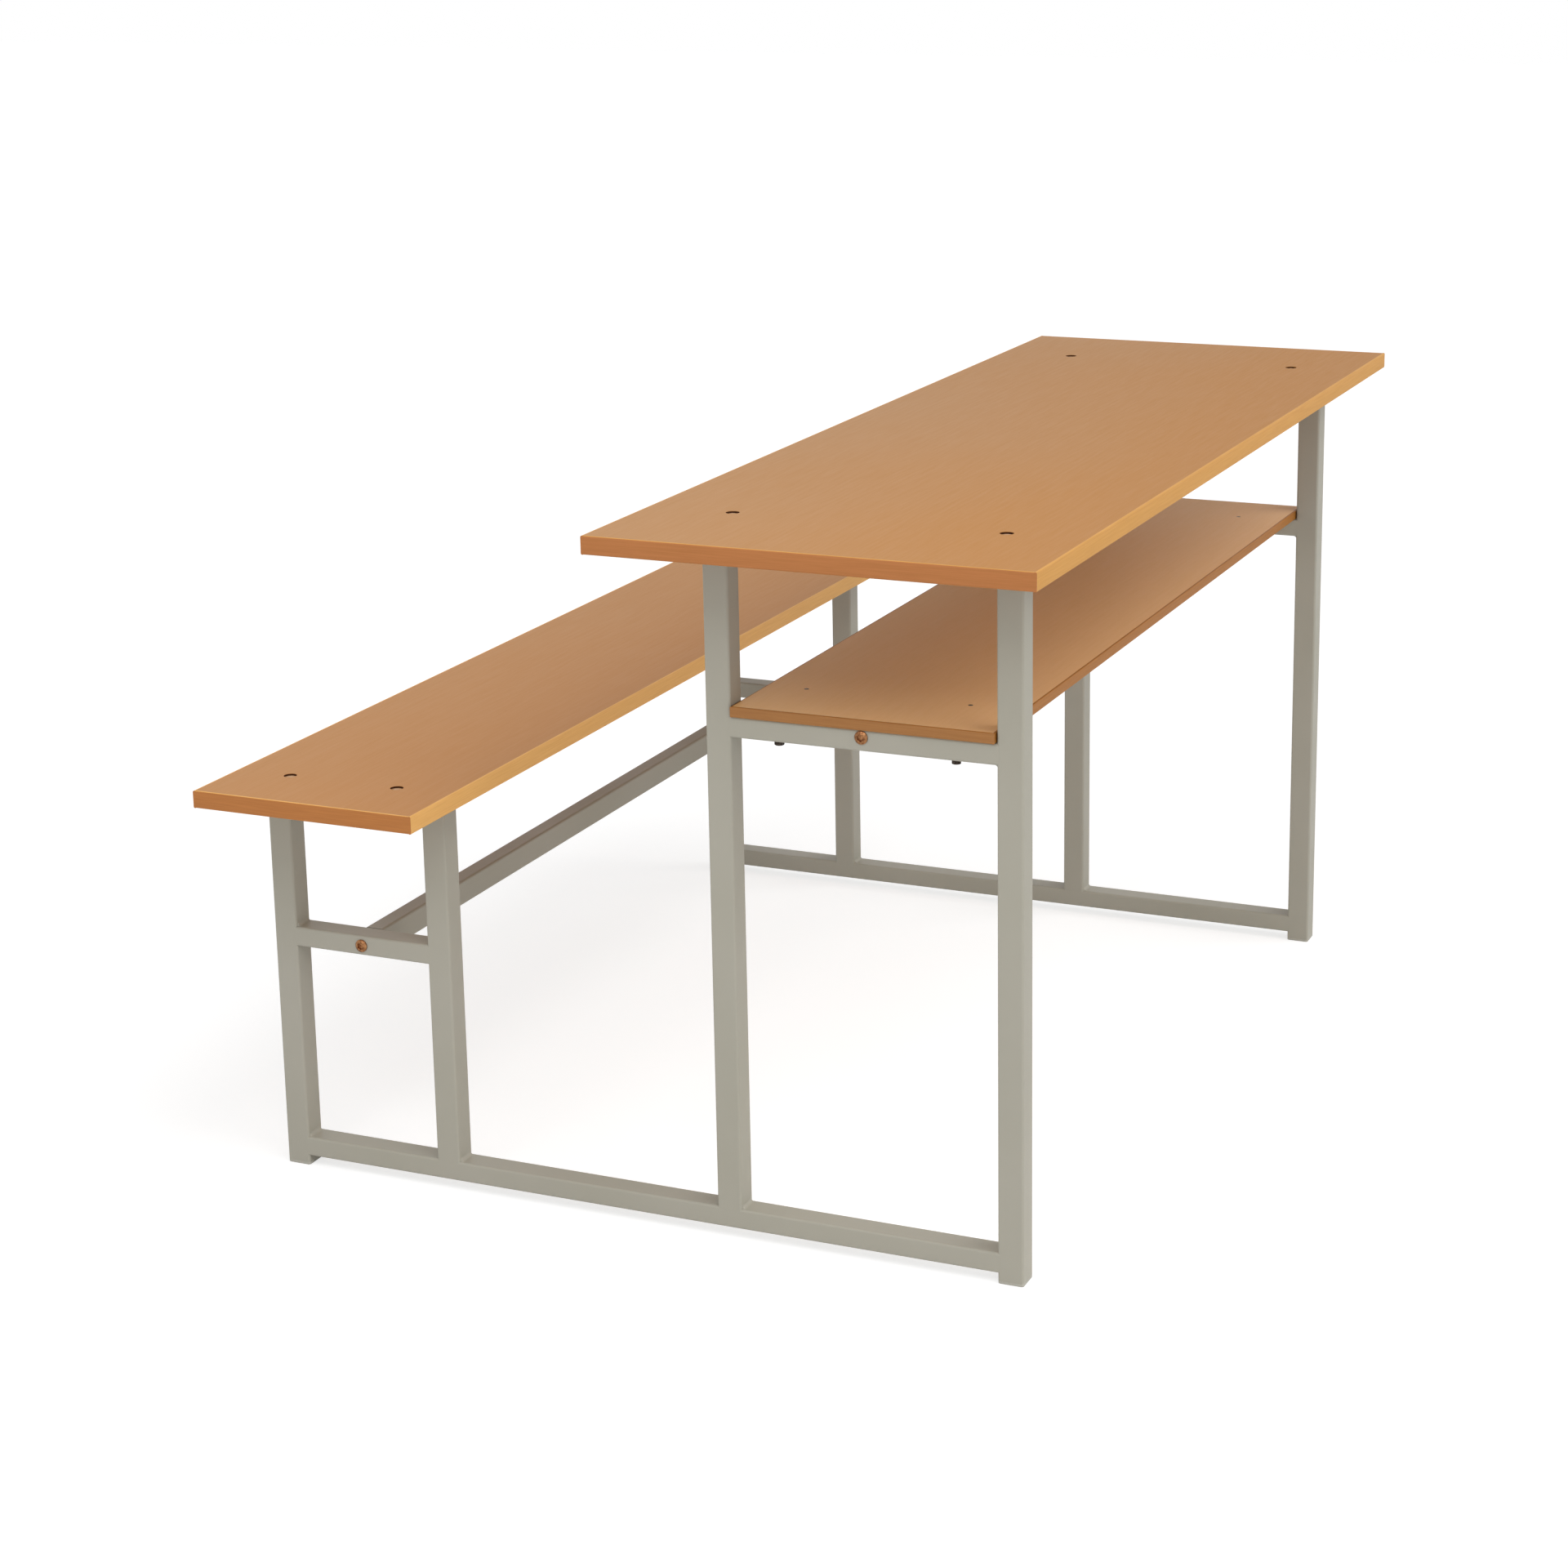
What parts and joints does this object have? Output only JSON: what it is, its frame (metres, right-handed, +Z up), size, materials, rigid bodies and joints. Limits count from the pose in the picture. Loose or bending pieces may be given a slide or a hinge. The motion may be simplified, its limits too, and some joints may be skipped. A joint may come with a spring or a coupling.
{
  "type": "school desk with attached bench",
  "caption": "School desk and bench on shared end frames of square steel tube, with wood-look boards and an open book shelf under the desk top.",
  "frame": {"origin": "on the floor, under the middle of the set", "axes": "+X along the boards to the right of a seated pupil, +Y from the bench to the desk, +Z up"},
  "size_m": [1.2, 0.846, 0.69],
  "materials": {
    "melamine_board": "plain beech-coloured melamine face on chipboard, satin",
    "edging": "plastic edging strip, a little browner than the face",
    "frame_paint": "warm grey powder coat, semi-matt",
    "foot_plastic": "moulded grey plastic",
    "plain_steel": "turned, uncoated",
    "yellow_zinc": "yellow zinc plate, orange-brown",
    "zinc": "clear zinc plate",
    "cap_plastic": "moulded plastic in the colour of the board",
    "dark_steel": "dark oxide"
  },
  "bodies": {
    "root": {"desk_top": "melamine_board", "desk_top_edging": "edging", "seat": "melamine_board", "seat_edging": "edging", "book_shelf": "melamine_board", "book_shelf_edging": "edging", "right_bottom_rail": "frame_paint", "right_bench_rear_leg": "frame_paint", "right_bench_front_leg": "frame_paint", "right_bench_cross_rail": "frame_paint", "right_bench_top_rail": "frame_paint", "right_desk_rear_leg": "frame_paint", "right_desk_front_leg": "frame_paint", "right_desk_cross_rail": "frame_paint", "right_desk_top_rail": "frame_paint", "right_seat_cleats": "frame_paint", "right_desk_cleats": "frame_paint", "right_shelf_cleats": "frame_paint", "right_weld_beads": "frame_paint", "right_ground_welds": "frame_paint", "right_rear_foot": "foot_plastic", "right_front_foot": "foot_plastic", "left_bottom_rail": "frame_paint", "left_bench_rear_leg": "frame_paint", "left_bench_front_leg": "frame_paint", "left_bench_cross_rail": "frame_paint", "left_bench_top_rail": "frame_paint", "left_desk_rear_leg": "frame_paint", "left_desk_front_leg": "frame_paint", "left_desk_cross_rail": "frame_paint", "left_desk_top_rail": "frame_paint", "left_seat_cleats": "frame_paint", "left_desk_cleats": "frame_paint", "left_shelf_cleats": "frame_paint", "left_weld_beads": "frame_paint", "left_ground_welds": "frame_paint", "left_rear_foot": "foot_plastic", "left_front_foot": "foot_plastic", "seat_stretcher": "frame_paint", "seat_stretcher_plugs": "plain_steel", "seat_stretcher_bolts": "yellow_zinc", "shelf_stretcher": "frame_paint", "shelf_stretcher_plugs": "plain_steel", "shelf_stretcher_bolts": "yellow_zinc", "seat_screws": "zinc", "seat_screw_nuts": "zinc", "seat_screw_caps": "cap_plastic", "desk_top_screws": "zinc", "desk_top_screw_nuts": "zinc", "desk_top_screw_caps": "cap_plastic", "shelf_screws": "dark_steel", "shelf_top_screws": "dark_steel"}
  },
  "joints": []
}
